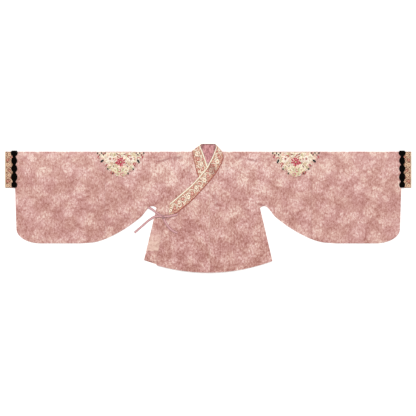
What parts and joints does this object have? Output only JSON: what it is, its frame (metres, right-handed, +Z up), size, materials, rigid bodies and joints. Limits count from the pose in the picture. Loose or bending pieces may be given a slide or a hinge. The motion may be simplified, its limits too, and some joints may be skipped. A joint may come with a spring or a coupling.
{
  "type": "cross-collar jacket of a horse face skirt set, laid flat",
  "caption": "Short cross-collar jacket with wide pouch sleeves, laid flat with spread arms: floral jacquard, brocade collar and cuffs, half-round patches, cloth ties.",
  "frame": {"origin": "on the surface under the middle of the jacket as it lies", "axes": "+X to the wearer's left along the spread sleeves, +Y from hem to collar, +Z up off the surface"},
  "size_m": [2.1, 0.6666, 0.0132],
  "materials": {
    "rose_jacquard": "soft satin sheen, dusty rose figured weave with blush blossoms",
    "collar_brocade": "brocade with cream scrolls and coral flowers on peach",
    "cream_piping": "plain cream satin",
    "red_piping": "plain brick red satin",
    "neck_lining": "plain pink lining cloth",
    "black_braid": "matt black corded braid",
    "patch_silk": "stitched silk in cream, olive and crimson",
    "tie_cloth": "plain rose cloth"
  },
  "bodies": {
    "root": {"body_left": "rose_jacquard", "body_right": "rose_jacquard", "flap_outer": "rose_jacquard", "flap_inner": "rose_jacquard", "sleeve_left": "rose_jacquard", "sleeve_right": "rose_jacquard", "cuff_left": "collar_brocade", "cuff_right": "collar_brocade", "braid_left": "black_braid", "braid_right": "black_braid", "patch_left": "patch_silk", "patch_right": "patch_silk", "collar_band": "collar_brocade", "piping_cream": "cream_piping", "piping_red": "red_piping", "neck_lining": "neck_lining", "tie_side": "tie_cloth", "tie_collar": "tie_cloth", "tie_knot": "tie_cloth"}
  },
  "joints": []
}
